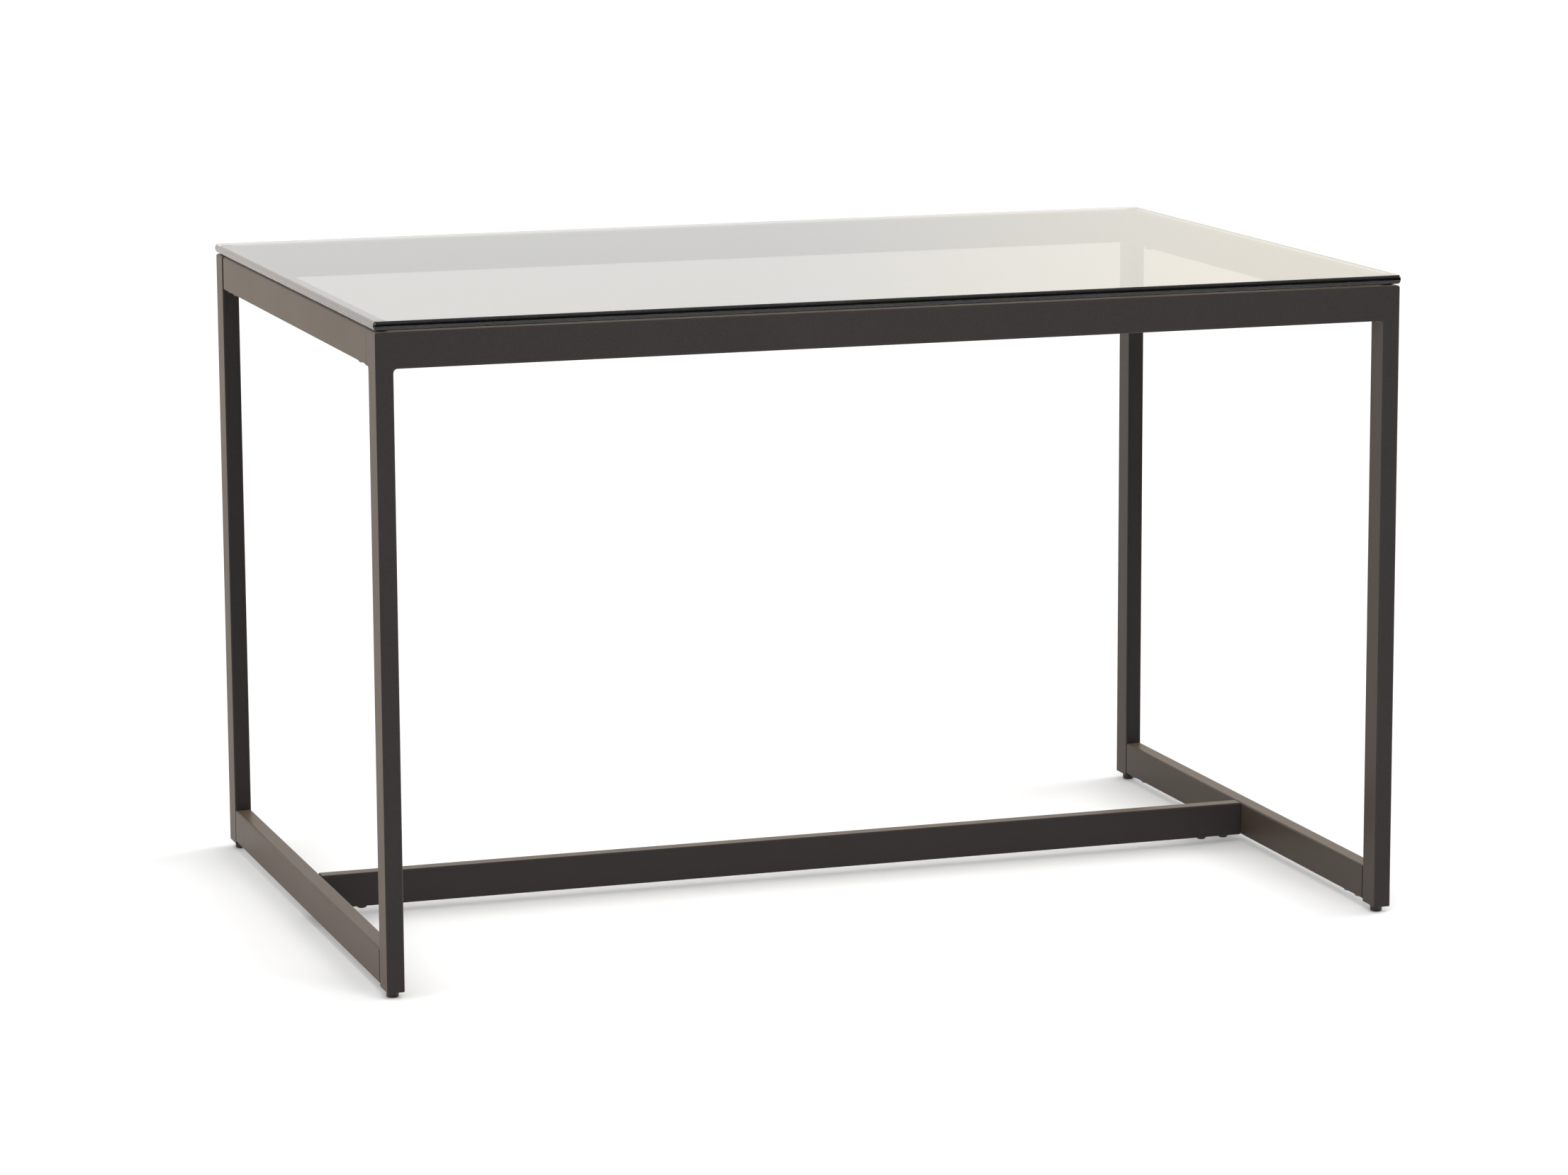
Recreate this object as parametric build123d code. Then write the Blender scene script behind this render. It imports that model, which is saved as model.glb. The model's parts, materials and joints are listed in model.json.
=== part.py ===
"""Glass-topped desk on a bolted frame of rectangular steel tube.

Axes: +X to the right along the desk, +Y to the back, +Z up. The origin is on the floor,
under the middle of the desk. All sizes are in millimetres.

The front and rear frames are each two legs and a top rail, welded and ground flush. Two
upper and two lower side rails join the frames, and a stretcher joins the lower rails into
an H. Each bolted end slides over a tube connector and is held by two screws from below.
The glass rests on a rubber pad on each leg, and each leg stands on a screw-adjusted foot.
"""
import os
from math import cos, pi

from build123d import *

# Overall sizes
TOP_WIDTH = 1200.0
TOP_DEPTH = 800.0
TOTAL_HEIGHT = 745.0

# Glass top
GLASS_THICK = 10.0
GLASS_CORNER_R = 5.0
GLASS_ROUND = 3.0
GLASS_OVERHANG = 1.5
PAD_DIA = 14.5
PAD_THICK = 2.0

# Steel tube
LEG_WIDTH = 20.0
LEG_DEPTH = 35.0
RAIL_HEIGHT = 40.0
RAIL_THICK = 20.0
TUBE_WALL = 1.5
TUBE_R = 2.5
LEG_BOTTOM = 8.0
LOWER_RAIL_BOTTOM = 10.5
LEG_CAP_THICK = 3.0
WELD_R = 4.5

# Bolted joints. Tongues and screws are measured from the face that the rail meets.
SHOULDER = 6.0
REAR_GAP = 5.0
SEAM = 0.5
TONGUE_LENGTH = 70.0
TONGUE_CLEARANCE = 0.4
TONGUE_WALL = 2.5
TONGUE_R = 1.5
SIDE_SCREWS = {"front": (28.0, 58.0), "rear": (13.0, 43.0)}
STRETCHER_SCREWS = (20.0, 49.0)

# M6 screws and weld nuts
SCREW_R = 3.0
SCREW_HOLE_R = 3.25
SCREW_LENGTH = 14.0
HEAD_R = 6.25
HEAD_HEIGHT = 3.6
HEAD_ROUND = 2.4
SOCKET_FLATS = 4.0
SOCKET_DEPTH = 2.2
NUT_FLATS = 10.0
NUT_HEIGHT = 5.0

# Adjustable feet, M8
FOOT_DIA = 14.5
FOOT_BASE_DIA = 13.6
FOOT_ROUND = 1.2
FOOT_GAP = 0.3
STEM_R = 4.0
STEM_TOP = 42.0
STEM_FLANGE_R = 5.0
STEM_FLANGE = (2.3, 4.7)
RUNNING_GAP = 0.1
THREAD_GAP = 0.05
INSERT_HEIGHT = 24.0

# Places worked out from the sizes above
FRAME_WIDTH = TOP_WIDTH - 2 * GLASS_OVERHANG
FRAME_DEPTH = TOP_DEPTH - 2 * GLASS_OVERHANG
GLASS_BOTTOM = TOTAL_HEIGHT - GLASS_THICK
FRAME_TOP = GLASS_BOTTOM - PAD_THICK
UPPER_RAIL_BOTTOM = FRAME_TOP - RAIL_HEIGHT
LEG_X = FRAME_WIDTH / 2 - LEG_WIDTH / 2
LEG_Y = FRAME_DEPTH / 2 - LEG_DEPTH / 2
INNER_X = FRAME_WIDTH / 2 - LEG_WIDTH
INNER_Y = FRAME_DEPTH / 2 - LEG_DEPTH
SIDES = {"left": -1, "right": 1}
ENDS = {"front": -1, "rear": 1}
CORNERS = {f"{end}_{side}": (sx, sy) for end, sy in ENDS.items() for side, sx in SIDES.items()}

nodes = {}


def bar(width, height, radius, length, direction):
    """A solid bar with rounded long edges, centred on the origin, along X, Y or Z."""
    plane = {
        "X": Plane.YZ,
        "Y": Plane(origin=(0, 0, 0), x_dir=(1, 0, 0), z_dir=(0, 1, 0)),
        "Z": Plane.XY,
    }[direction]
    section = plane * RectangleRounded(width, height, radius)
    return extrude(section, length / 2, both=True)


def tube(width, height, length, direction, wall=TUBE_WALL, radius=TUBE_R):
    """A rectangular tube, open at both ends."""
    inner_r = max(radius - wall, 0.5)
    hollow = bar(width - 2 * wall, height - 2 * wall, inner_r, length + 2, direction)
    return bar(width, height, radius, length, direction) - hollow


def upright(radius, low, high):
    """A round bar along Z from low to high."""
    return Pos(0, 0, (low + high) / 2) * Cylinder(radius, high - low)


def concave_fillet(radius, length):
    """A weld fillet along Y: it fills the corner at +X, +Z of the origin, hollow outwards."""
    block = Pos(radius / 2, 0, radius / 2) * Box(radius, length, radius)
    scoop = Pos(radius, 0, radius) * Rot(90, 0, 0) * Cylinder(radius, length + 2)
    return block - scoop


def screw_holes(spots, z):
    """Clearance holes for the frame screws, through one wall at height z."""
    return [Pos(x, y, z) * Cylinder(SCREW_HOLE_R, 3 * TONGUE_WALL) for x, y in spots]


def screw(x, y, z):
    """A socket screw from below, with its domed head's face at height z."""
    head = Pos(0, 0, -HEAD_HEIGHT / 2) * Cylinder(HEAD_R, HEAD_HEIGHT)
    head = fillet(head.edges().group_by(Axis.Z)[0], HEAD_ROUND)
    socket_r = SOCKET_FLATS / 2 / cos(pi / 6)
    socket = extrude(Pos(0, 0, -HEAD_HEIGHT) * RegularPolygon(socket_r, 6), SOCKET_DEPTH)
    return Pos(x, y, z) * (head - socket + upright(SCREW_R, 0, SCREW_LENGTH))


def weld_nut(x, y, z, direction):
    """A hexagonal weld nut standing on height z, its corners along the rail's direction."""
    turn = {"X": 0, "Y": 90}[direction]
    outline = Rot(0, 0, turn) * RegularPolygon(NUT_FLATS / 2 / cos(pi / 6), 6)
    nut = extrude(outline, NUT_HEIGHT) - Pos(0, 0, NUT_HEIGHT / 2) * Cylinder(SCREW_R, NUT_HEIGHT + 2)
    return Pos(x, y, z) * nut


def tongue(direction):
    """The tube inside a rail's end, a sliding fit in the rail."""
    width = RAIL_THICK - 2 * TUBE_WALL - 2 * TONGUE_CLEARANCE
    height = RAIL_HEIGHT - 2 * TUBE_WALL - 2 * TONGUE_CLEARANCE
    return tube(width, height, TONGUE_LENGTH, direction, TONGUE_WALL, TONGUE_R)


def add_screws(name, spots, rail_bottom, direction):
    """One group of screws and one of weld nuts for a bolted rail."""
    nut_z = rail_bottom + TUBE_WALL + TONGUE_CLEARANCE + TONGUE_WALL
    nodes[f"{name}_screws"] = Compound([screw(x, y, rail_bottom) for x, y in spots])
    nodes[f"{name}_weld_nuts"] = Compound([weld_nut(x, y, nut_z, direction) for x, y in spots])


def glass_top():
    """Toughened glass with rounded plan corners and a pencil-rounded edge all round."""
    plate = extrude(RectangleRounded(TOP_WIDTH, TOP_DEPTH, GLASS_CORNER_R), GLASS_THICK)
    rims = plate.edges().group_by(Axis.Z)
    plate = fillet(rims[0] + rims[-1], GLASS_ROUND)
    return Pos(0, 0, GLASS_BOTTOM) * plate


def add_corner(name, sx, sy):
    """One leg with its cap, glass pad, foot insert and adjustable foot."""
    place = Pos(sx * LEG_X, sy * LEG_Y, 0)
    leg_length = FRAME_TOP - LEG_BOTTOM
    inside = (LEG_WIDTH - 2 * TUBE_WALL, LEG_DEPTH - 2 * TUBE_WALL, TUBE_R - TUBE_WALL)

    leg = Pos(0, 0, (FRAME_TOP + LEG_BOTTOM) / 2) * tube(LEG_WIDTH, LEG_DEPTH, leg_length, "Z")
    nodes[f"leg_{name}"] = place * leg

    cap = Pos(0, 0, FRAME_TOP - LEG_CAP_THICK / 2) * bar(*inside, LEG_CAP_THICK, "Z")
    nodes[f"leg_cap_{name}"] = place * cap

    pad = upright(PAD_DIA / 2, FRAME_TOP, GLASS_BOTTOM)
    nodes[f"glass_pad_{name}"] = place * pad

    insert = Pos(0, 0, LEG_BOTTOM + INSERT_HEIGHT / 2) * bar(*inside, INSERT_HEIGHT, "Z")
    insert -= upright(STEM_R + THREAD_GAP, LEG_BOTTOM - 1, LEG_BOTTOM + INSERT_HEIGHT + 1)
    nodes[f"foot_insert_{name}"] = place * insert

    foot_top = LEG_BOTTOM - FOOT_GAP
    taper = Plane.XY * Circle(FOOT_BASE_DIA / 2)
    rim = Plane.XY.offset(foot_top) * Circle(FOOT_DIA / 2)
    glide = loft([taper, rim])
    glide = fillet(glide.edges().group_by(Axis.Z)[0], FOOT_ROUND)
    low, high = STEM_FLANGE
    glide -= upright(STEM_FLANGE_R + RUNNING_GAP, low - RUNNING_GAP, high + RUNNING_GAP)
    glide -= upright(STEM_R + RUNNING_GAP, high, foot_top + 1)
    nodes[f"foot_glide_{name}"] = place * glide

    shank = upright(STEM_R, high, STEM_TOP)
    shank = chamfer(shank.edges().group_by(Axis.Z)[-1], 0.8)
    nodes[f"foot_stem_{name}"] = place * (shank + upright(STEM_FLANGE_R, low, high))


def add_cross_frame(end, sy):
    """The top rail of the front or rear frame, and the welds that join it to its legs."""
    rail_y = sy * (FRAME_DEPTH / 2 - RAIL_THICK / 2)
    rail_z = FRAME_TOP - RAIL_HEIGHT / 2
    rail = tube(RAIL_THICK, RAIL_HEIGHT, 2 * INNER_X, "X")
    nodes[f"{end}_rail"] = Pos(0, rail_y, rail_z) * rail

    under = Rot(0, 90, 0) * concave_fillet(WELD_R, RAIL_THICK - 2 * TUBE_R)
    groove = Box(TUBE_R, TUBE_R, RAIL_HEIGHT)
    groove -= Pos(-TUBE_R / 2, TUBE_R / 2, 0) * Cylinder(TUBE_R, RAIL_HEIGHT + 2)
    fill_y = FRAME_DEPTH / 2 - TUBE_R / 2
    left_weld = Pos(-INNER_X, rail_y, UPPER_RAIL_BOTTOM) * under
    left_fill = Pos(-(INNER_X + TUBE_R / 2), -fill_y, rail_z) * groove
    if sy > 0:
        left_fill = mirror(left_fill, Plane.XZ)
    welds = [left_weld, left_fill]
    if sy < 0:
        behind = Rot(0, 0, 90) * Rot(0, 90, 0) * concave_fillet(WELD_R, LEG_WIDTH - 2 * TUBE_R)
        welds.append(Pos(-LEG_X, -INNER_Y, UPPER_RAIL_BOTTOM) * behind)
    welds += [mirror(weld, Plane.YZ) for weld in welds]
    nodes[f"{end}_frame_welds"] = Compound([solid for weld in welds for solid in weld.solids()])


def add_side_rails(side, sx):
    """The upper and lower side rails with their connectors, screws and weld nuts."""
    rail_x = sx * (FRAME_WIDTH / 2 - RAIL_THICK / 2)
    levels = {
        "upper": (UPPER_RAIL_BOTTOM, SHOULDER, REAR_GAP),
        "lower": (LOWER_RAIL_BOTTOM, SEAM, SEAM),
    }
    for level, (bottom, front_gap, rear_gap) in levels.items():
        rail_z = bottom + RAIL_HEIGHT / 2
        spots = [(rail_x, sy * (INNER_Y - d)) for end, sy in ENDS.items() for d in SIDE_SCREWS[end]]
        length = 2 * INNER_Y - front_gap - rear_gap
        middle = (front_gap - rear_gap) / 2
        rail = Pos(rail_x, middle, rail_z) * tube(RAIL_THICK, RAIL_HEIGHT, length, "Y")
        nodes[f"{level}_rail_{side}"] = rail - screw_holes(spots, bottom)
        for end, sy in ENDS.items():
            piece = Pos(rail_x, sy * (INNER_Y - TONGUE_LENGTH / 2), rail_z) * tongue("Y")
            if level == "upper" and end == "front":
                collar = bar(RAIL_THICK, RAIL_HEIGHT, TUBE_R, SHOULDER, "Y")
                piece += Pos(rail_x, sy * (INNER_Y - SHOULDER / 2), rail_z) * collar
            piece -= screw_holes(spots, bottom + TUBE_WALL + TONGUE_CLEARANCE)
            nodes[f"{level}_connector_{end}_{side}"] = piece
        add_screws(f"{level}_rail_{side}", spots, bottom, "Y")


def add_stretcher():
    """The stretcher between the lower side rails, with its connectors and screws."""
    rail_z = LOWER_RAIL_BOTTOM + RAIL_HEIGHT / 2
    inner = FRAME_WIDTH / 2 - RAIL_THICK
    spots = [(sx * (inner - d), 0) for sx in SIDES.values() for d in STRETCHER_SCREWS]
    rail = Pos(0, 0, rail_z) * tube(RAIL_THICK, RAIL_HEIGHT, 2 * (inner - SEAM), "X")
    nodes["stretcher"] = rail - screw_holes(spots, LOWER_RAIL_BOTTOM)
    for side, sx in SIDES.items():
        piece = Pos(sx * (inner - TONGUE_LENGTH / 2), 0, rail_z) * tongue("X")
        piece -= screw_holes(spots, LOWER_RAIL_BOTTOM + TUBE_WALL + TONGUE_CLEARANCE)
        nodes[f"stretcher_connector_{side}"] = piece
    add_screws("stretcher", spots, LOWER_RAIL_BOTTOM, "X")


nodes["glass_top"] = glass_top()
for corner, (corner_x, corner_y) in CORNERS.items():
    add_corner(corner, corner_x, corner_y)
for frame_end, frame_y in ENDS.items():
    add_cross_frame(frame_end, frame_y)
for rail_side, rail_sx in SIDES.items():
    add_side_rails(rail_side, rail_sx)
add_stretcher()

os.makedirs("parts", exist_ok=True)
for node, shape in nodes.items():
    export_step(shape, f"parts/{node}.step")
print(len(nodes), "sub-parts written")
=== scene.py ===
"""The looks of a glass-topped desk on a bolted steel tube frame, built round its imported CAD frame.

Lengths are metres. Places come from the CAD nodes' boxes; the few sizes below are those that
a box can't give.
"""
import json
import math

import bmesh
import bpy
from mathutils import Matrix, Vector


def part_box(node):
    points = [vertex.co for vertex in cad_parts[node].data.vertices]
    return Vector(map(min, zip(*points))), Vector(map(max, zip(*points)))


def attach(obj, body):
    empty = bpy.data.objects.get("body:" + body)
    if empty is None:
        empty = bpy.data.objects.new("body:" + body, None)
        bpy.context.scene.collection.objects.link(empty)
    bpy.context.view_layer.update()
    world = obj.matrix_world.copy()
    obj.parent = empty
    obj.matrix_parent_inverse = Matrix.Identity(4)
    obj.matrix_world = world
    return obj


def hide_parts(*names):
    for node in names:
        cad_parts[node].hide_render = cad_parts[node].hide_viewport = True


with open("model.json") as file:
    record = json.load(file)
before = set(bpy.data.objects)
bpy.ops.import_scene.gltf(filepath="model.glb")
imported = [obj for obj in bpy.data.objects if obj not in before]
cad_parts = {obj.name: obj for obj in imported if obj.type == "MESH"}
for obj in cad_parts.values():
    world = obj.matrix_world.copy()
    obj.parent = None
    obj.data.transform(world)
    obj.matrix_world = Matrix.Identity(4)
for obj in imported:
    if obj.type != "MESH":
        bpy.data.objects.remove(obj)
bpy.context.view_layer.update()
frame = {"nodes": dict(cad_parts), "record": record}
MM = 0.001

# The steel tube, its bolted joints and its welds
TUBE_R = 2.5 * MM
TUBE_WALL = 1.5 * MM
RAIL_THICK = 20 * MM
RAIL_HEIGHT = 40 * MM
SHOULDER = 6 * MM
WELD_R = 4.5 * MM
END_ROUND = 0.9 * MM
LEG_END_ROUND = 0.8 * MM
SOCKET_ROOM = 40 * MM
TONGUE_R = 1.5 * MM
TONGUE_WALL = 2.5 * MM
TONGUE_CLEARANCE = 0.4 * MM
TONGUE_SINK = 0.5 * MM

# The glass: its corners in plan, and the radius of the shallow round on its edge
GLASS_CORNER_R = 5 * MM
PENCIL_R = 7.5 * MM
PENCIL_STEPS = 14

# The button-head screws and the levelling feet
SCREW_PITCH = {"side": 30 * MM, "stretcher": 29 * MM}
HEAD_R = 6.25 * MM
HEAD_HEIGHT = 3.6 * MM
HEAD_RIM = 0.7 * MM
DOME_R = 3.4 * MM
SOCKET_FLATS = 4 * MM
SOCKET_DEPTH = 2.2 * MM
SHANK_R = 3 * MM
SHANK_LENGTH = 13.9 * MM
THREAD_PITCH = 1.25 * MM
THREAD_DEPTH = 0.65 * MM
STEM_R = 4 * MM
FLANGE_HEIGHT = 2.4 * MM

# Camera: where it stands and how it looks at the desk
CAMERA_PLACE = (-1.8953, -5.6842, 1.4351)
CAMERA_YAW = 0.3204
CAMERA_PITCH = 0.1786
CAMERA_ROLL = -0.0048
CAMERA_LENS = 117.9
SENSOR_WIDTH = 36.0

# The soft panel in front
PANEL_PLACE = (0.0, -2.2, 2.0)
PANEL_TARGET = (0.0, -0.4, 0.7)
PANEL_SIDES = (2.0, 1.2)
PANEL_WATTS = 50.0

# The sky's patches of light: direction, cosines of the outer and inner edge, radiance
SKY = (
    # the pale wall behind and the panel overhead
    ((0.05, 1.0, 0.0), 0.0, 0.85, (0.86, 0.86, 0.86)),
    ((0.0, 0.1, 1.0), 0.0, 0.9, (0.95, 0.95, 0.95)),
    # the panels at the left and the right
    ((-0.92, -0.12, 0.42), 0.93, 0.975, (3.8, 3.8, 3.8)),
    ((0.90, 0.20, 0.42), 0.92, 0.97, (6.0, 6.0, 6.0)),
    # low behind: the warm patches that the ends of the glass mirror
    ((-0.36, 0.93, 0.08), 0.90, 0.98, (0.60, 0.50, 0.42)),
    ((0.49, 0.85, 0.15), 0.977, 0.998, (0.27, 0.22, 0.09)),
    # a dim fill from everywhere
    ((0.0, 0.0, 1.0), -2.0, -1.5, (0.11, 0.11, 0.11)),
)
BACKDROP = 1.1
FLOOR_HALF = 4.0

CORNERS = ("front_left", "front_right", "rear_left", "rear_right")
SIDES = ("left", "right")
ARC_STEPS = 6
ROUND_STEPS = 48

# Places closer than SAME are one place; edges that turn by more, in radians, are corners
SAME = 0.001 * MM
CORNER_TURN = 1.2


# ---------------------------------------------------------------- meshes
def ordered_mesh(bm, name):
    """A mesh with its vertices and faces sorted by place, so that every run makes the same one."""
    verts = sorted(bm.verts, key=lambda vert: [round(value, 6) for value in vert.co])
    index = {vert: i for i, vert in enumerate(verts)}
    faces = []
    for face in bm.faces:
        loop = [index[vert] for vert in face.verts]
        first = loop.index(min(loop))
        faces.append(loop[first:] + loop[:first])
    mesh = bpy.data.meshes.new(name)
    mesh.from_pydata([vert.co for vert in verts], [], sorted(faces))
    return mesh


def finish_mesh(bm, name, material, sharp_deg=35.0):
    """Turn a bmesh into an object with smooth curves, flat flats and one material."""
    bmesh.ops.recalc_face_normals(bm, faces=bm.faces)
    mesh = ordered_mesh(bm, name)
    bm.free()
    mesh.shade_smooth()
    mesh.set_sharp_from_angle(angle=math.radians(sharp_deg))
    mesh.materials.append(material)
    piece = bpy.data.objects.new(name, mesh)
    bpy.context.scene.collection.objects.link(piece)
    weighted = piece.modifiers.new("flat_faces_stay_flat", "WEIGHTED_NORMAL")
    weighted.keep_sharp = True
    weighted.weight = 100
    return piece


def rounded_rectangle(width, height, radius, steps=ARC_STEPS):
    """Points round a rounded rectangle, anticlockwise from the right side."""
    points = []
    for corner in range(4):
        sx, sy = ((1, 1), (-1, 1), (-1, -1), (1, -1))[corner]
        centre = Vector((sx * (width / 2 - radius), sy * (height / 2 - radius)))
        for step in range(steps + 1):
            angle = math.pi / 2 * (corner + step / steps)
            points.append(centre + radius * Vector((math.cos(angle), math.sin(angle))))
    return points


def bridge(bm, ring_a, ring_b):
    """Quads between two rings of the same number of vertices."""
    count = len(ring_a)
    for i in range(count):
        j = (i + 1) % count
        bm.faces.new((ring_a[i], ring_a[j], ring_b[j], ring_b[i]))


def loft(bm, rings, closed=False):
    """Join rings of points, in order, with quads, and give back their vertices."""
    made = [[bm.verts.new(point) for point in ring] for ring in rings]
    for ring_a, ring_b in zip(made, made[1:]):
        bridge(bm, ring_a, ring_b)
    if closed:
        bridge(bm, made[-1], made[0])
    return made


def add_tube(bm, place, width, height, length, radius=TUBE_R, wall=TUBE_WALL):
    """A hollow rectangular tube along the local Z of place, with eased cut ends."""
    halfway = 0.3 * END_ROUND
    ends = ((wall, 0.0), (END_ROUND, 0.0), (halfway, halfway), (0.0, END_ROUND))
    stations = [(inset, depth - length / 2) for inset, depth in ends]
    stations += [(inset, length / 2 - depth) for inset, depth in reversed(ends)]
    rings = []
    for inset, z in stations:
        corner = max(radius - inset, 0.3 * MM)
        outline = rounded_rectangle(width - 2 * inset, height - 2 * inset, corner)
        rings.append([place @ Vector((p.x, p.y, z)) for p in outline])
    loft(bm, rings, closed=True)


def circle(place, radius, z, steps=ROUND_STEPS):
    """Points round a circle about the local Z of place."""
    angles = [2 * math.pi * i / steps for i in range(steps)]
    return [place @ Vector((radius * math.cos(a), radius * math.sin(a), z)) for a in angles]


def spread_circle(place, radius, z):
    """Points round a circle, as many and spaced as those of a rounded rectangle."""
    points = []
    for corner in range(4):
        for step in range(ARC_STEPS + 1):
            angle = math.pi / 2 * (corner + (step + 0.5) / (ARC_STEPS + 1))
            points.append(place @ Vector((radius * math.cos(angle), radius * math.sin(angle), z)))
    return points


def hexagon(place, flats, z):
    """Points round a hexagon, as many as a circle has."""
    points = []
    for i in range(ROUND_STEPS):
        angle = 2 * math.pi * i / ROUND_STEPS
        off = (angle + math.pi / 6) % (math.pi / 3) - math.pi / 6
        radius = flats / 2 / math.cos(off)
        points.append(place @ Vector((radius * math.cos(angle), radius * math.sin(angle), z)))
    return points


def cap(bm, ring, tip_place):
    """Close a ring with a fan of triangles to one point."""
    tip = bm.verts.new(tip_place)
    for i in range(len(ring)):
        bm.faces.new((ring[i], ring[(i + 1) % len(ring)], tip))


def add_turned(bm, place, profile, closed=False):
    """A turned solid about the local Z of place, from (radius, z) points."""
    made = loft(bm, [circle(place, radius, z) for radius, z in profile], closed=closed)
    if not closed:
        cap(bm, made[0], place @ Vector((0, 0, profile[0][1])))
        cap(bm, made[-1], place @ Vector((0, 0, profile[-1][1])))


def quarter_round(centre_r, centre_z, radius_r, radius_z, steps):
    """Profile points (radius, z) of a quarter round, from its outermost point to its lowest."""
    points = []
    for step in range(steps + 1):
        angle = -math.pi / 2 * step / steps
        points.append((centre_r + radius_r * math.cos(angle), centre_z + radius_z * math.sin(angle)))
    return points


# ---------------------------------------------------------------- materials
class Shader:
    """A small helper for building one material's nodes."""

    def __init__(self, name):
        self.material = bpy.data.materials.new(name)
        self.material.use_nodes = True
        self.tree = self.material.node_tree
        self.shader = self.tree.nodes["Principled BSDF"]
        self.coords = self.add("ShaderNodeTexCoord").outputs["Object"]

    def add(self, kind, **values):
        node = self.tree.nodes.new(kind)
        for key, value in values.items():
            setattr(node, key, value)
        return node

    def link(self, source, target):
        self.tree.links.new(source, target)

    def noise(self, scale, detail=3.0):
        node = self.add("ShaderNodeTexNoise")
        node.inputs["Scale"].default_value = scale
        node.inputs["Detail"].default_value = detail
        self.link(self.coords, node.inputs["Vector"])
        return node.outputs["Fac"]

    def spread(self, factor, low, high, start=0.3, stop=0.7):
        node = self.add("ShaderNodeMapRange")
        node.inputs["From Min"].default_value = start
        node.inputs["From Max"].default_value = stop
        node.inputs["To Min"].default_value = low
        node.inputs["To Max"].default_value = high
        self.link(factor, node.inputs["Value"])
        return node.outputs["Result"]

    def blend(self, factor, colour_a, colour_b):
        node = self.add("ShaderNodeMix", data_type="RGBA")
        self.link(factor, node.inputs[0])
        for socket, colour in ((node.inputs[6], colour_a), (node.inputs[7], colour_b)):
            if isinstance(colour, tuple):
                socket.default_value = (*colour, 1.0)
            else:
                self.link(colour, socket)
        return node.outputs[2]

    def math(self, operation, a, b):
        node = self.add("ShaderNodeMath", operation=operation)
        for socket, value in zip(node.inputs, (a, b)):
            if isinstance(value, (int, float)):
                socket.default_value = value
            else:
                self.link(value, socket)
        return node.outputs[0]

    def bump(self, height, strength, distance):
        node = self.add("ShaderNodeBump")
        node.inputs["Strength"].default_value = strength
        node.inputs["Distance"].default_value = distance
        self.link(height, node.inputs["Height"])
        self.link(node.outputs["Normal"], self.shader.inputs["Normal"])

    def set(self, **values):
        for key, value in values.items():
            self.shader.inputs[key.replace("_", " ")].default_value = value


def powder_coat():
    """Satin bronze-black powder coat: slight mottling, a fine pale grain and orange peel."""
    s = Shader("powder_coat")
    mottle = s.noise(9.0, detail=4.0)
    peel = s.noise(900.0, detail=2.0)
    grain = s.noise(2400.0, detail=1.0)
    colour = s.blend(s.spread(mottle, 0.0, 1.0), (0.0200, 0.0172, 0.0172), (0.0235, 0.0202, 0.0202))
    colour = s.blend(s.spread(grain, 0.0, 1.0, 0.35, 0.75), colour, (0.036, 0.032, 0.0315))
    s.link(colour, s.shader.inputs["Base Color"])
    s.link(s.spread(mottle, 0.37, 0.40), s.shader.inputs["Roughness"])
    s.set(Specular_IOR_Level=0.08, Sheen_Weight=0.15, Sheen_Roughness=0.4)
    s.set(Sheen_Tint=(1.0, 0.62, 0.26, 1.0))
    s.bump(s.math("ADD", peel, s.math("MULTIPLY", grain, 0.4)), 0.35, 0.00012)
    return s.material


def tinted_glass():
    """Warm grey glass: clear faces with the faintest smudging, edges polished less finely."""
    s = Shader("tinted_glass")
    s.set(Base_Color=(1.0, 1.0, 1.0, 1.0), Transmission_Weight=1.0, IOR=1.47)
    normal = s.add("ShaderNodeSeparateXYZ")
    s.link(s.add("ShaderNodeNewGeometry").outputs["True Normal"], normal.inputs[0])
    edge = s.math("LESS_THAN", s.math("ABSOLUTE", normal.outputs["Z"], 0.0), 0.9)
    smudge = s.spread(s.noise(14.0, detail=5.0), 0.0, 0.012, 0.45, 0.75)
    ground = s.spread(s.noise(300.0), 0.02, 0.04)
    rough = s.math("ADD", smudge, s.math("MULTIPLY", edge, ground))
    s.link(rough, s.shader.inputs["Roughness"])
    absorb = s.add("ShaderNodeVolumeAbsorption")
    absorb.inputs["Color"].default_value = (0.62, 0.59, 0.53, 1.0)
    absorb.inputs["Density"].default_value = 128.0
    output = s.tree.nodes["Material Output"]
    s.link(absorb.outputs[0], output.inputs["Volume"])
    return s.material


def plain_metal(name, dark, light, roughness, metallic=1.0):
    """Plated, blackened or bare steel with a fine patchy grain."""
    s = Shader(name)
    patch = s.noise(260.0, detail=4.0)
    s.link(s.blend(s.spread(patch, 0.0, 1.0), dark, light), s.shader.inputs["Base Color"])
    s.link(s.spread(patch, roughness - 0.06, roughness + 0.06), s.shader.inputs["Roughness"])
    s.set(Metallic=metallic)
    s.bump(s.noise(1560.0), 0.2, 0.00005)
    return s.material


def soft_black(name, dark, light, roughness, grain, depth):
    """Moulded nylon or rubber: near black with a moulded grain."""
    s = Shader(name)
    patch = s.noise(grain / 8, detail=3.0)
    s.link(s.blend(s.spread(patch, 0.0, 1.0), dark, light), s.shader.inputs["Base Color"])
    s.link(s.spread(patch, roughness - 0.05, roughness + 0.05), s.shader.inputs["Roughness"])
    s.bump(s.noise(grain, detail=2.0), 0.4, depth)
    return s.material


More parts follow.
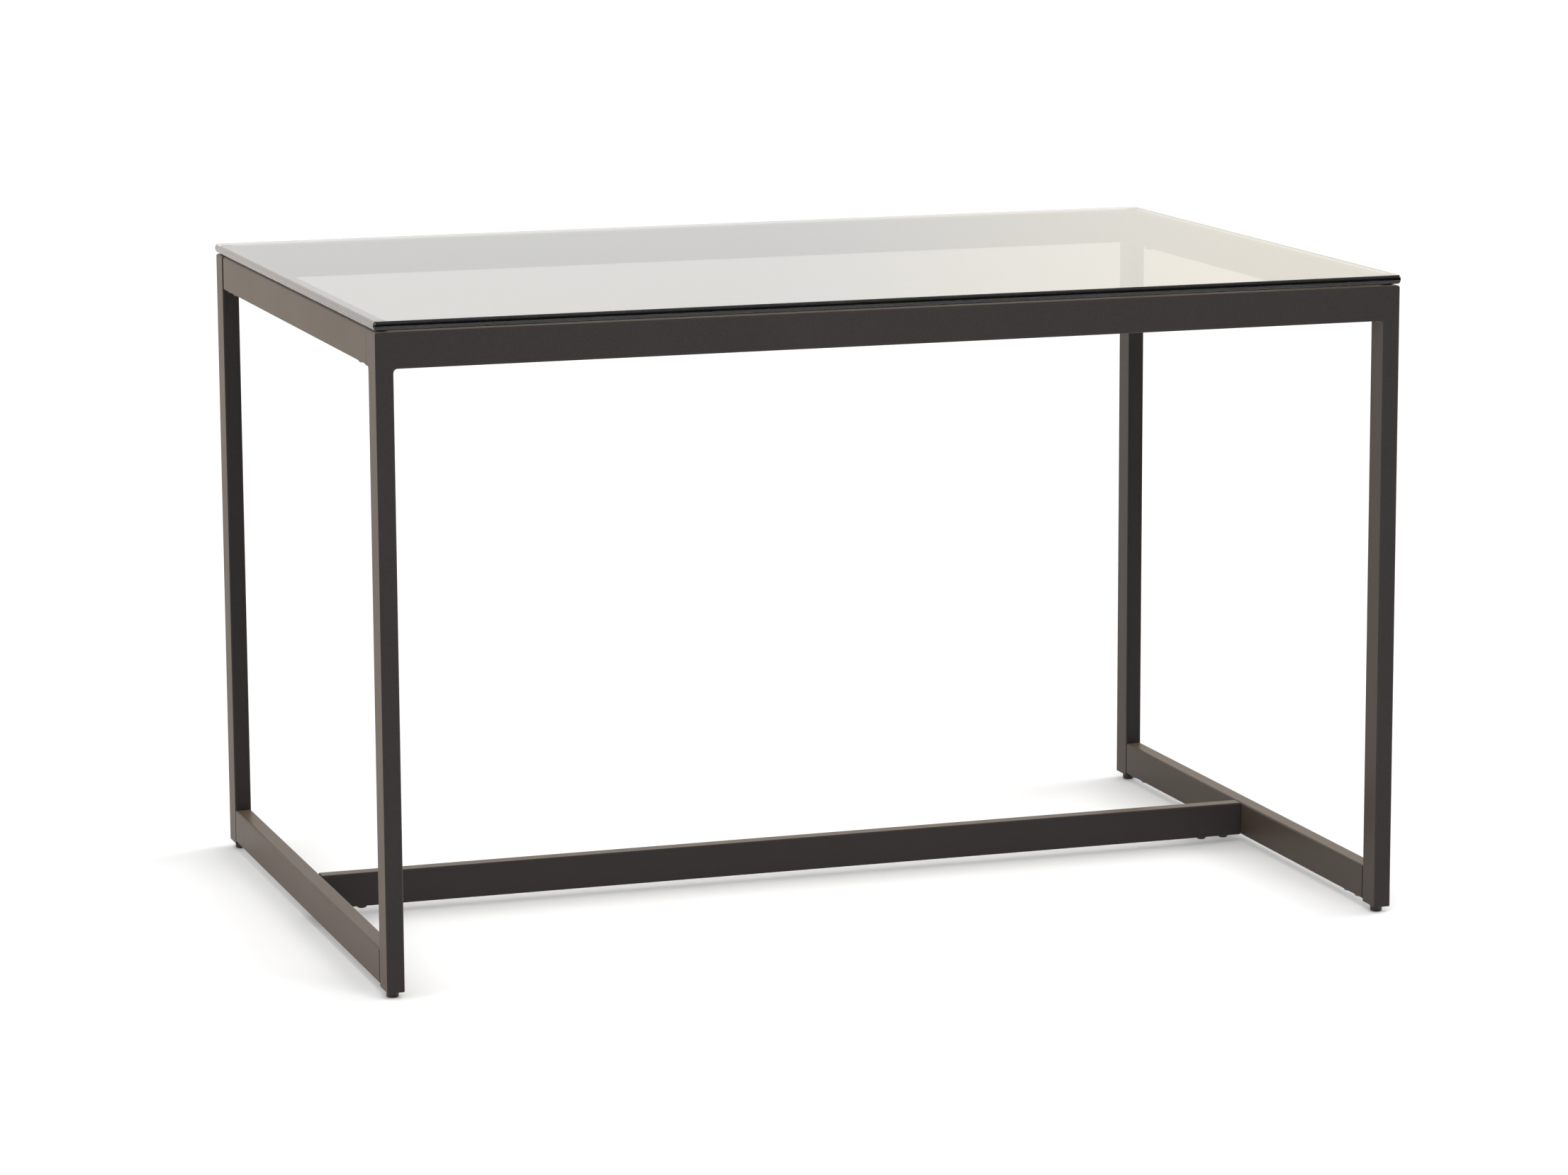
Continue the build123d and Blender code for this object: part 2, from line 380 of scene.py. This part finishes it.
COAT = powder_coat()
GLASS = tinted_glass()
ZINC = plain_metal("zinc_steel", (0.42, 0.43, 0.42), (0.62, 0.62, 0.59), 0.34)
RAW_STEEL = plain_metal("raw_steel", (0.060, 0.058, 0.056), (0.11, 0.105, 0.10), 0.52, 0.6)
SCREW_BLACK = plain_metal("black_screw", (0.018, 0.017, 0.016), (0.032, 0.030, 0.028), 0.24, 0.4)
NYLON = soft_black(
    "black_nylon", (0.010, 0.0075, 0.006), (0.018, 0.0135, 0.011), 0.40, 1400.0, 0.00006)
RUBBER = soft_black(
    "black_rubber", (0.006, 0.006, 0.006), (0.012, 0.012, 0.011), 0.6, 1800.0, 0.00005)
SLOT_MATERIALS = {
    "tinted_glass": GLASS,
    "powder_coat": COAT,
    "black_rubber": RUBBER,
    "black_nylon": NYLON,
    "zinc_steel": ZINC,
    "black_screw": SCREW_BLACK,
    "raw_steel": RAW_STEEL,
}


def settle(piece, body, slot, *nodes):
    """Make a piece ride on its body and stand for its CAD nodes; the slot is not used."""
    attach(piece, body)
    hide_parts(*nodes)


# ---------------------------------------------------------------- the glass
def build_glass():
    """The sheet, with rounded plan corners and a polished, slightly rounded edge."""
    low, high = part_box("glass_top")
    size = high - low
    middle = (low + high) / 2
    sweep = math.asin(size.z / 2 / PENCIL_R)
    face_inset = PENCIL_R * (1 - math.cos(sweep)) + 0.3 * MM
    stations = [(face_inset, low.z)]
    for step in range(1, PENCIL_STEPS):
        angle = sweep * (2 * step / PENCIL_STEPS - 1)
        stations.append((PENCIL_R * (1 - math.cos(angle)), middle.z + PENCIL_R * math.sin(angle)))
    stations.append((face_inset, high.z))
    bm = bmesh.new()
    rings = []
    for inset, z in stations:
        corner = GLASS_CORNER_R - inset
        outline = rounded_rectangle(size.x - 2 * inset, size.y - 2 * inset, corner, 2 * ARC_STEPS)
        rings.append([Vector((middle.x + p.x, middle.y + p.y, z)) for p in outline])
    made = loft(bm, rings)
    bm.faces.new(made[0])
    bm.faces.new(made[-1])
    piece = finish_mesh(bm, "glass_sheet", GLASS, 25.0)
    settle(piece, "desk", "tinted_glass", "glass_top")


# ---------------------------------------------------------------- the frame
def arc_points(centre, radius, start_deg, stop_deg):
    """Points (x, z) along an arc."""
    points = []
    for step in range(ARC_STEPS + 1):
        angle = math.radians(start_deg + (stop_deg - start_deg) * step / ARC_STEPS)
        points.append((centre[0] + radius * math.cos(angle), centre[1] + radius * math.sin(angle)))
    return points


def sweep(bm, face, move):
    """Sweep a face along a vector into a solid, whose first end it stays."""
    result = bmesh.ops.extrude_face_region(bm, geom=[face])
    moved = [v for v in result["geom"] if isinstance(v, bmesh.types.BMVert)]
    bmesh.ops.translate(bm, verts=moved, vec=move)


def extrude(bm, face, move):
    """Push one face of a solid out by a vector."""
    sweep(bm, face, move)
    if face.is_valid:
        bmesh.ops.delete(bm, geom=[face], context="FACES_ONLY")


def round_over(bm, edges, radius, steps=ARC_STEPS):
    """Round some edges of a mesh."""
    bmesh.ops.bevel(bm, geom=edges, offset=radius, segments=steps, profile=0.5,
                    affect="EDGES", clamp_overlap=False)


def lies_at(part, axis, place):
    """True if every vertex of an edge or face is at one place along an axis."""
    return all(abs(vertex.co[axis] - place) < SAME for vertex in part.verts)


def is_corner(edge, convex):
    """True if an edge is a square corner of the wanted kind."""
    if len(edge.link_faces) != 2:
        return False
    angle = edge.calc_face_angle_signed(0.0)
    return angle > CORNER_TURN if convex else angle < -CORNER_TURN


def frame_slab(xs, bottom, top, face_y, move):
    """A frame's outline as a slab: two legs and the rail, with weld fillets between them."""
    left, inner_left, inner_right, right = xs
    fillet_z = top - RAIL_HEIGHT - WELD_R
    outline = [(left, bottom), (left, top), (inner_left, top), (inner_right, top), (right, top)]
    outline += [(right, bottom), (inner_right, bottom)]
    outline += arc_points((inner_right - WELD_R, fillet_z), WELD_R, 0, 90)
    outline += arc_points((inner_left + WELD_R, fillet_z), WELD_R, 90, 180)
    outline += [(inner_left, bottom)]
    bm = bmesh.new()
    sweep(bm, bm.faces.new([bm.verts.new((x, face_y, z)) for x, z in outline]), move)
    return bm


def deepen_legs(bm, xs, bottom, rear_y, move):
    """Part the legs from the rail on the slab's rear face, and push each leg further back."""
    left, inner_left, inner_right, right = xs
    for x in (inner_left, inner_right):
        ends = [v for v in bm.verts if abs(v.co.x - x) < SAME and abs(v.co.y - rear_y) < SAME]
        ends = sorted((v for v in ends if v.co.z > bottom + SAME), key=lambda v: v.co.z)
        bmesh.ops.connect_verts(bm, verts=[ends[0], ends[-1]])
    for edge_x in (left, right):
        legs = [f for f in bm.faces if lies_at(f, 1, rear_y)
                and abs(f.calc_center_median().x - edge_x) < RAIL_THICK]
        extrude(bm, legs[0], move)


def add_shoulders(bm, under, leg_y, move):
    """Push each leg's rear face further back above the rail's underside."""
    geom = [f for f in bm.faces if lies_at(f, 1, leg_y)]
    geom += [e for e in bm.edges if lies_at(e, 1, leg_y)]
    geom += [v for v in bm.verts if abs(v.co.y - leg_y) < SAME]
    bmesh.ops.bisect_plane(bm, geom=geom, plane_co=(0, 0, under), plane_no=(0, 0, 1))
    uppers = [f for f in bm.faces if lies_at(f, 1, leg_y) and f.calc_center_median().z > under]
    for upper in uppers:
        extrude(bm, upper, move)


def open_feet(bm, bottom):
    """Ease the legs' cut ends and hollow each out for its plug and foot."""
    rims = [e for e in bm.edges if lies_at(e, 2, bottom)]
    round_over(bm, rims, LEG_END_ROUND, 3)
    feet = [f for f in bm.faces if lies_at(f, 2, bottom)]
    for foot in feet:
        wall = TUBE_WALL - LEG_END_ROUND
        bmesh.ops.inset_individual(bm, faces=[foot], thickness=wall, use_even_offset=True)
        extrude(bm, foot, Vector((0, 0, SOCKET_ROOM)))


def build_cross_frame(end):
    """One welded frame: two legs, their caps and top rail, ground flush and coated as one."""
    back = Vector((0, 1 if end == "front" else -1, 0))
    left_low, left_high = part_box(f"leg_{end}_left")
    right_low, right_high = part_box(f"leg_{end}_right")
    xs = (left_low.x, left_high.x, right_low.x, right_high.x)
    bottom, top = left_low.z, left_high.z
    face_y = left_low.y if end == "front" else left_high.y
    leg_depth = left_high.y - left_low.y

    bm = frame_slab(xs, bottom, top, face_y, back * RAIL_THICK)
    rear_y = face_y + back.y * RAIL_THICK
    deepen_legs(bm, xs, bottom, rear_y, back * (leg_depth - RAIL_THICK))
    if end == "front":
        add_shoulders(bm, top - RAIL_HEIGHT, face_y + back.y * leg_depth, back * SHOULDER)
    # join the faces that these steps leave split in one plane
    bmesh.ops.dissolve_limit(bm, angle_limit=math.radians(0.1), verts=bm.verts, edges=bm.edges)
    bmesh.ops.recalc_face_normals(bm, faces=bm.faces)

    # the inner corners under the shoulders, then every outer corner but the cut ends
    inner = [e for e in bm.edges if is_corner(e, False) and lies_at(e, 2, e.verts[0].co.z)]
    if inner:
        round_over(bm, inner, WELD_R)
    shoulder_y = face_y + back.y * (leg_depth + SHOULDER)
    cut_ends = ((2, bottom), (1, shoulder_y))
    corners = [e for e in bm.edges if is_corner(e, True)
               and not any(lies_at(e, axis, place) for axis, place in cut_ends)]
    round_over(bm, corners, TUBE_R)
    open_feet(bm, bottom)
    piece = finish_mesh(bm, f"{end}_welded_frame", COAT)
    nodes = [f"leg_{end}_{side}" for side in SIDES] + [f"leg_cap_{end}_{side}" for side in SIDES]
    settle(piece, "desk", "powder_coat", f"{end}_rail", f"{end}_frame_welds", *nodes)


def build_rail(node, name):
    """One bolted rail as a hollow tube along its longest side."""
    low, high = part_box(node)
    size, middle = high - low, (low + high) / 2
    turn = Matrix.Rotation(math.pi / 2, 4, "X")
    width, length = size.x, size.y
    if size.x > size.y:
        turn = Matrix.Rotation(math.pi / 2, 4, "Z") @ turn
        width, length = size.y, size.x
    bm = bmesh.new()
    add_tube(bm, Matrix.Translation(middle) @ turn, width, size.z, length)
    settle(finish_mesh(bm, name, COAT), "desk", "powder_coat", node)


def build_front_tongue(side):
    """The tongue that the upper rail slides over, standing out from the frame's shoulder."""
    low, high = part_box(f"upper_connector_front_{side}")
    middle = (low + high) / 2
    start = low.y + SHOULDER - TONGUE_SINK
    width = RAIL_THICK - 2 * TUBE_WALL - 2 * TONGUE_CLEARANCE
    height = RAIL_HEIGHT - 2 * TUBE_WALL - 2 * TONGUE_CLEARANCE
    place = Matrix.Translation((middle.x, (start + high.y) / 2, middle.z))
    place = place @ Matrix.Rotation(math.pi / 2, 4, "X")
    bm = bmesh.new()
    add_tube(bm, place, width, height, high.y - start, TONGUE_R, TONGUE_WALL)
    piece = finish_mesh(bm, f"upper_front_tongue_{side}", COAT)
    settle(piece, "desk", "powder_coat", f"upper_connector_front_{side}")


# ---------------------------------------------------------------- hardware
def add_screw(bm, place):
    """A button-head socket screw; the head's flat sits at local z 0 and the shank points up."""
    chamfer = 0.15 * MM
    floor_z = SOCKET_DEPTH - HEAD_HEIGHT
    rings = [circle(place, SHANK_R, SHANK_LENGTH), circle(place, SHANK_R, 0.0)]
    rings += [circle(place, HEAD_R - chamfer, 0.0), circle(place, HEAD_R, -chamfer)]
    dome = quarter_round(HEAD_R - DOME_R, -HEAD_RIM, DOME_R, HEAD_HEIGHT - HEAD_RIM, 8)
    rings += [circle(place, radius, z) for radius, z in dome]
    rings.append(hexagon(place, SOCKET_FLATS + 0.5 * MM, -HEAD_HEIGHT))
    rings.append(hexagon(place, SOCKET_FLATS, 0.25 * MM - HEAD_HEIGHT))
    rings.append(hexagon(place, SOCKET_FLATS, floor_z))
    made = loft(bm, rings)
    cap(bm, made[0], place @ Vector((0, 0, SHANK_LENGTH)))
    cap(bm, made[-1], place @ Vector((0, 0, floor_z + 0.5 * MM)))


def build_screws(rail, pitch, along):
    """All the screws of one rail, two at each end, with no two sockets turned alike."""
    low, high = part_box(f"{rail}_screws")
    middle = (low + high) / 2
    first, last = low[along] + HEAD_R, high[along] - HEAD_R
    bm = bmesh.new()
    for count, spot in enumerate((first, first + pitch, last - pitch, last)):
        place = Vector((middle.x, middle.y, low.z + HEAD_HEIGHT))
        place[along] = spot
        turn = Matrix.Rotation(0.4 + 1.7 * count, 4, "Z")
        add_screw(bm, Matrix.Translation(place) @ turn)
    piece = finish_mesh(bm, f"{rail}_button_screws", SCREW_BLACK)
    settle(piece, "desk", "black_screw", f"{rail}_screws")


def build_pad(corner):
    """A soft pad whose side bulges a little under the glass."""
    low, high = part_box(f"glass_pad_{corner}")
    middle, radius, height = (low + high) / 2, (high.x - low.x) / 2, high.z - low.z
    bulge, bulge_half = 0.45 * MM, 0.46 * height
    waist = radius - bulge
    face_r = waist - 0.3 * MM
    steps = 8
    profile = [(face_r, -height / 2)]
    for step in range(steps + 1):
        angle = math.pi * (step / steps - 0.5)
        profile.append((waist + bulge * math.cos(angle), bulge_half * math.sin(angle)))
    profile.append((face_r, height / 2))
    bm = bmesh.new()
    add_turned(bm, Matrix.Translation(middle), profile)
    settle(finish_mesh(bm, f"pad_{corner}", RUBBER), "desk", "black_rubber", f"glass_pad_{corner}")


def build_insert(corner):
    """The nylon plug in the leg's end, with a raised collar round its threaded hole."""
    low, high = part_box(f"foot_insert_{corner}")
    size, middle = high - low, (low + high) / 2
    ledge = low.z + 0.5 * MM
    outside = ((0.5 * MM, high.z), (0.1 * MM, high.z - 0.4 * MM))
    outside += ((0.1 * MM, ledge + 0.3 * MM), (0.4 * MM, ledge))
    rings = []
    for inset, z in outside:
        outline = rounded_rectangle(size.x - 2 * inset, size.y - 2 * inset, 1.0 * MM)
        rings.append([Vector((middle.x + p.x, middle.y + p.y, z)) for p in outline])
    collar = 6.0 * MM
    hole = STEM_R + 0.15 * MM
    mouth = hole + 0.3 * MM
    inside = ((collar, ledge), (collar - 0.2 * MM, low.z + 0.1 * MM), (mouth, low.z + 0.1 * MM))
    inside += ((hole, low.z + 0.4 * MM), (hole, high.z - 0.4 * MM), (mouth, high.z))
    axis = Matrix.Translation((middle.x, middle.y, 0))
    rings += [spread_circle(axis, radius, z) for radius, z in inside]
    bm = bmesh.new()
    loft(bm, rings, closed=True)
    settle(finish_mesh(bm, f"leg_plug_{corner}", NYLON), "desk", "black_nylon", f"foot_insert_{corner}")


def build_glide(corner):
    """The moulded foot: a tapered puck with a rounded tread, a rim line and a recessed top."""
    low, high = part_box(f"foot_glide_{corner}")
    middle, radius = (low + high) / 2, (high.x - low.x) / 2
    top = high.z - low.z
    hole = STEM_R + 0.12 * MM
    recess = radius - 1.4 * MM
    base = radius - 0.45 * MM
    tread = 1.2 * MM
    pocket_r, pocket_low, pocket_high = 5.1 * MM, 2.2 * MM, 4.8 * MM
    # the hole and the recessed top
    profile = [(hole, pocket_high), (hole, top - 0.5 * MM), (recess - 0.2 * MM, top - 0.5 * MM)]
    profile += [(recess, top - 0.2 * MM), (recess + 0.2 * MM, top)]
    # the rim and the line under it
    profile += [(radius - 0.3 * MM, top), (radius, top - 0.3 * MM), (radius - 0.05 * MM, top - 1.5 * MM)]
    profile += [(radius - 0.3 * MM, top - 1.65 * MM), (radius - 0.32 * MM, top - 1.9 * MM)]
    profile += [(radius - 0.12 * MM, top - 2.05 * MM)]
    # the tread, its shallow hollow and the moulding hole in the middle
    profile += quarter_round(base - tread, tread, tread, tread, 6)
    profile += [(base - 2.4 * MM, 0.0), (base - 2.6 * MM, 0.25 * MM), (1.2 * MM, 0.25 * MM)]
    profile += [(0.9 * MM, 0.6 * MM), (0.9 * MM, pocket_low)]
    # the pocket that holds the stem's flange
    profile += [(pocket_r, pocket_low), (pocket_r, pocket_high)]
    bm = bmesh.new()
    add_turned(bm, Matrix.Translation((middle.x, middle.y, low.z)), profile, closed=True)
    piece = finish_mesh(bm, f"glide_{corner}", NYLON)
    settle(piece, f"foot_{corner}", "black_nylon", f"foot_glide_{corner}")


def thread_rings(axis, start, stop, steps):
    """Rings of a right-hand thread that runs out at both ends."""
    rows_a_turn = 8
    run_out = 0.6 * THREAD_PITCH
    root = STEM_R - THREAD_DEPTH
    count = int(round((stop - start) / THREAD_PITCH * rows_a_turn))
    rings = []
    for row in range(count + 1):
        z = start + (stop - start) * row / count
        fade = max(min((z - start) / run_out, (stop - z) / run_out, 1.0), 0.0)
        ring = []
        for i in range(steps):
            angle = 2 * math.pi * i / steps
            phase = ((z - start) / THREAD_PITCH - i / steps) % 1.0
            crest = min(max(1.5 - 4.0 * abs(phase - 0.5), 0.0), 1.0)
            radius = root + THREAD_DEPTH * crest * fade
            ring.append(axis @ Vector((radius * math.cos(angle), radius * math.sin(angle), z)))
        rings.append(ring)
    return rings


def build_stem(corner):
    """The M8 stem: a flange held in the foot and a true right-hand helical thread."""
    low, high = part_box(f"foot_stem_{corner}")
    middle = (low + high) / 2
    axis = Matrix.Translation((middle.x, middle.y, 0))
    flange_r = (high.x - low.x) / 2
    flange_top = low.z + FLANGE_HEIGHT
    ease = 0.2 * MM
    root = STEM_R - THREAD_DEPTH
    steps = 32
    foot = ((flange_r - ease, low.z), (flange_r, low.z + ease), (flange_r, flange_top - ease))
    foot += ((flange_r - ease, flange_top), (root, flange_top))
    tip = ((root - 0.1 * MM, high.z - 0.5 * MM), (root - 0.6 * MM, high.z))
    rings = [circle(axis, radius, z, steps) for radius, z in foot]
    rings += thread_rings(axis, flange_top + ease, high.z - 0.8 * MM, steps)
    rings += [circle(axis, radius, z, steps) for radius, z in tip]
    bm = bmesh.new()
    made = loft(bm, rings)
    cap(bm, made[0], axis @ Vector((0, 0, low.z)))
    cap(bm, made[-1], axis @ Vector((0, 0, high.z)))
    piece = finish_mesh(bm, f"stem_screw_{corner}", ZINC, 50.0)
    settle(piece, f"stem_{corner}", "zinc_steel", f"foot_stem_{corner}")


# ---------------------------------------------------------------- scene
def build_stage():
    """A plain pale floor."""
    bm = bmesh.new()
    bmesh.ops.create_grid(bm, x_segments=1, y_segments=1, size=FLOOR_HALF)
    mesh = bpy.data.meshes.new("floor")
    bm.to_mesh(mesh)
    bm.free()
    s = Shader("studio_floor")
    s.link(s.blend(s.noise(3.0), (0.73, 0.73, 0.73), (0.75, 0.75, 0.75)), s.shader.inputs["Base Color"])
    s.set(Roughness=0.9, Specular_IOR_Level=0.1)
    mesh.materials.append(s.material)
    floor = bpy.data.objects.new("floor", mesh)
    bpy.context.scene.collection.objects.link(floor)


def lobe(tree, direction, towards, start, stop, radiance):
    """A soft patch of light in the sky, from a cosine of start at its edge to stop inside."""
    facing = tree.nodes.new("ShaderNodeVectorMath")
    facing.operation = "DOT_PRODUCT"
    facing.inputs[1].default_value = Vector(towards).normalized()
    tree.links.new(direction, facing.inputs[0])
    ramp = tree.nodes.new("ShaderNodeMapRange")
    ramp.interpolation_type = "SMOOTHSTEP"
    ramp.inputs["From Min"].default_value = start
    ramp.inputs["From Max"].default_value = stop
    tree.links.new(facing.outputs["Value"], ramp.inputs["Value"])
    patch = tree.nodes.new("ShaderNodeVectorMath")
    patch.operation = "SCALE"
    patch.inputs[0].default_value = radiance
    tree.links.new(ramp.outputs["Result"], patch.inputs["Scale"])
    return patch.outputs["Vector"]


def build_world():
    """The studio: the sky's patches light the desk, and the camera sees plain white past it."""
    world = bpy.data.worlds.new("studio")
    bpy.context.scene.world = world
    world.use_nodes = True
    tree = world.node_tree
    direction = tree.nodes.new("ShaderNodeTexCoord").outputs["Generated"]
    total = None
    for patch in SKY:
        part = lobe(tree, direction, *patch)
        if total is None:
            total = part
            continue
        add = tree.nodes.new("ShaderNodeVectorMath")
        tree.links.new(total, add.inputs[0])
        tree.links.new(part, add.inputs[1])
        total = add.outputs["Vector"]
    light = tree.nodes["Background"]
    tree.links.new(total, light.inputs["Color"])
    backdrop = tree.nodes.new("ShaderNodeBackground")
    backdrop.inputs["Color"].default_value = (1.0, 1.0, 1.0, 1.0)
    backdrop.inputs["Strength"].default_value = BACKDROP
    mix = tree.nodes.new("ShaderNodeMixShader")
    tree.links.new(tree.nodes.new("ShaderNodeLightPath").outputs["Is Camera Ray"], mix.inputs[0])
    tree.links.new(light.outputs[0], mix.inputs[1])
    tree.links.new(backdrop.outputs[0], mix.inputs[2])
    tree.links.new(mix.outputs[0], tree.nodes["World Output"].inputs["Surface"])


def build_front_panel():
    """A dim soft panel above the front, which lights the front rail more than the feet."""
    data = bpy.data.lights.new("front_panel", "AREA")
    data.shape = "RECTANGLE"
    data.size, data.size_y = PANEL_SIDES
    data.energy = PANEL_WATTS
    panel = bpy.data.objects.new("front_panel", data)
    panel.visible_camera = False
    panel.visible_glossy = False
    bpy.context.scene.collection.objects.link(panel)
    towards = Vector(PANEL_TARGET) - Vector(PANEL_PLACE)
    aim = towards.to_track_quat("-Z", "Y").to_matrix().to_4x4()
    panel.matrix_world = Matrix.Translation(PANEL_PLACE) @ aim


def build_camera():
    """The camera, from where it stands and how far it is turned, tipped and rolled."""
    turned = Vector((math.sin(CAMERA_YAW), math.cos(CAMERA_YAW), 0.0))
    forward = math.cos(CAMERA_PITCH) * turned - Vector((0.0, 0.0, math.sin(CAMERA_PITCH)))
    level = Vector((turned.y, -turned.x, 0.0))
    right = math.cos(CAMERA_ROLL) * level + math.sin(CAMERA_ROLL) * level.cross(forward)
    up = right.cross(forward)
    data = bpy.data.cameras.new("camera")
    data.sensor_width = SENSOR_WIDTH
    data.lens = CAMERA_LENS
    data.clip_end = 200.0
    camera = bpy.data.objects.new("camera", data)
    bpy.context.scene.collection.objects.link(camera)
    axes = Matrix((right, up, -forward)).transposed().to_4x4()
    camera.matrix_world = Matrix.Translation(CAMERA_PLACE) @ axes
    bpy.context.scene.camera = camera


build_glass()
for frame_end in ("front", "rear"):
    build_cross_frame(frame_end)
for side in SIDES:
    for level in ("upper", "lower"):
        build_rail(f"{level}_rail_{side}", f"{level}_side_rail_{side}")
build_rail("stretcher", "stretcher_tube")
for side in SIDES:
    build_front_tongue(side)
    build_screws(f"upper_rail_{side}", SCREW_PITCH["side"], 1)
    build_screws(f"lower_rail_{side}", SCREW_PITCH["side"], 1)
build_screws("stretcher", SCREW_PITCH["stretcher"], 0)
for corner in CORNERS:
    build_pad(corner)
    build_insert(corner)
    build_glide(corner)
    build_stem(corner)
slots = {row["node"]: row["material_slot"] for row in frame["record"]["subparts"]}
for name, node in frame["nodes"].items():
    node.data.materials.clear()
    node.data.materials.append(SLOT_MATERIALS[slots[name]])
build_stage()
build_world()
build_front_panel()
build_camera()
bpy.context.scene.view_settings.view_transform = "Standard"
